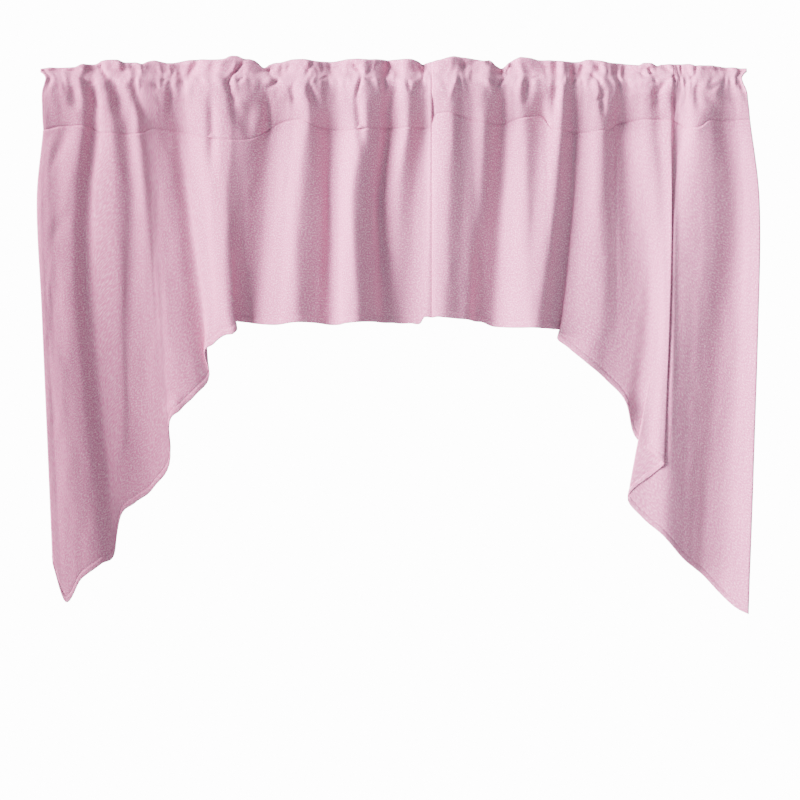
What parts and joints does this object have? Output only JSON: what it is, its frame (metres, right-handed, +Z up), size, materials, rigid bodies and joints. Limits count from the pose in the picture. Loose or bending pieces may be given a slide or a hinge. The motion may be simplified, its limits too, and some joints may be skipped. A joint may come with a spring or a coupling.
{
  "type": "swag and tail drape",
  "caption": "Rod-pocket swag and tail drape in plain cloth: two gathered panels with a frilled header, a short middle and long slanted side tails.",
  "frame": {"origin": "on the axis of the rod that the pocket slides on, at the middle of the pair", "axes": "+X along the rod towards the right tail as seen from the front, +Y from the front to the back, +Z up"},
  "size_m": [1.1867, 0.0603, 0.9156],
  "materials": {
    "cloth": "brushed plain cloth, matt"
  },
  "bodies": {
    "root": {"heading_left": "cloth", "heading_right": "cloth", "drape_left": "cloth", "drape_right": "cloth"}
  },
  "joints": []
}
